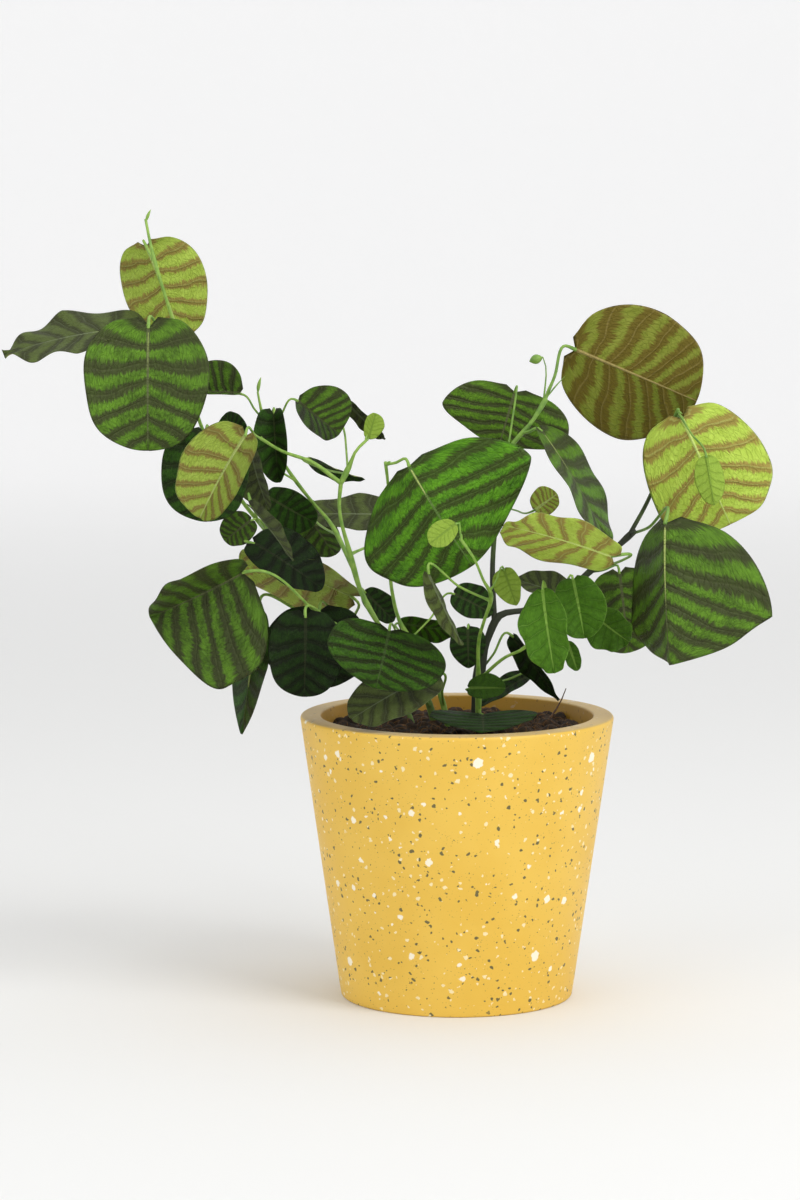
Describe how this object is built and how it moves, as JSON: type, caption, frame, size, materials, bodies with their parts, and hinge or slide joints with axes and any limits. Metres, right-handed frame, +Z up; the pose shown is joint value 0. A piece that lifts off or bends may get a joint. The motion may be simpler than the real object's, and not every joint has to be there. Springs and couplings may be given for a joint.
{
  "type": "potted plant",
  "caption": "Bushy leafy house plant with broad banded two-lobed leaves on thin branching stems, rooted in soil in a tapered speckled ceramic pot.",
  "frame": {"origin": "middle of the pot's flat base, on the surface it stands on", "axes": "+Z up along the pot's axis, -Y towards the plant's front, +X to the right seen from the front"},
  "size_m": [0.3652, 0.1684, 0.3713],
  "materials": {
    "pot": "satin, speckled with pale and olive chips",
    "soil": "damp loose compost",
    "cane_green": "smooth young bark",
    "cane_woody": "dark older bark",
    "leaf_mature": "soft green with darker bands",
    "leaf_dark": "deep green with darker bands",
    "leaf_lime": "lime underside or young blade with brown stripes",
    "leaf_brown": "brownish underside"
  },
  "bodies": {
    "root": {"cane_centre": "cane_green", "cane_far_left": "cane_green", "cane_left": "cane_green", "cane_right": "cane_woody", "dry_twig": "cane_woody", "leaf_above_fold": "leaf_dark", "leaf_behind_fold": "leaf_dark", "leaf_behind_right": "leaf_dark", "leaf_big_low": "leaf_dark", "leaf_big_right": "leaf_mature", "leaf_black_narrow": "leaf_dark", "leaf_brown_right": "leaf_brown", "leaf_centre_back": "leaf_mature", "leaf_centre_large": "leaf_mature", "leaf_centre_long": "leaf_mature", "leaf_crown_lime": "leaf_lime", "leaf_dark_curved": "leaf_dark", "leaf_dark_low": "leaf_dark", "leaf_dark_low_back": "leaf_dark", "leaf_far_left": "leaf_dark", "leaf_folded_low": "leaf_dark", "leaf_fresh_behind": "leaf_mature", "leaf_fresh_cupped": "leaf_mature", "leaf_fresh_hanging": "leaf_mature", "leaf_fresh_small": "leaf_mature", "leaf_front_striped": "leaf_mature", "leaf_grey_hanging": "leaf_dark", "leaf_grey_narrow": "leaf_brown", "leaf_grey_right": "leaf_dark", "leaf_hanging_left": "leaf_dark", "leaf_in_pot": "leaf_dark", "leaf_inner_green": "leaf_mature", "leaf_inner_low": "leaf_mature", "leaf_lime_bud": "leaf_lime", "leaf_lime_edge": "leaf_lime", "leaf_lime_front": "leaf_lime", "leaf_lime_low": "leaf_lime", "leaf_lime_right": "leaf_lime", "leaf_lime_small": "leaf_lime", "leaf_lime_tip": "leaf_lime", "leaf_long_behind": "leaf_dark", "leaf_low_small": "leaf_mature", "leaf_mid_dark": "leaf_dark", "leaf_mid_grey": "leaf_dark", "leaf_mid_heart": "leaf_dark", "leaf_mid_left": "leaf_dark", "leaf_mid_striped": "leaf_mature", "leaf_over_rim": "leaf_dark", "leaf_round_left": "leaf_mature", "leaf_shade_back": "leaf_mature", "leaf_shade_large": "leaf_dark", "leaf_shoot_lime": "leaf_lime", "leaf_small_left": "leaf_mature", "leaf_striped_fold": "leaf_lime", "leaf_upper_dark": "leaf_dark", "leaf_upper_narrow": "leaf_dark", "leaf_upper_ovate": "leaf_mature", "pot": "pot", "shoot_front": "cane_green", "soil": "soil"}
  },
  "joints": []
}
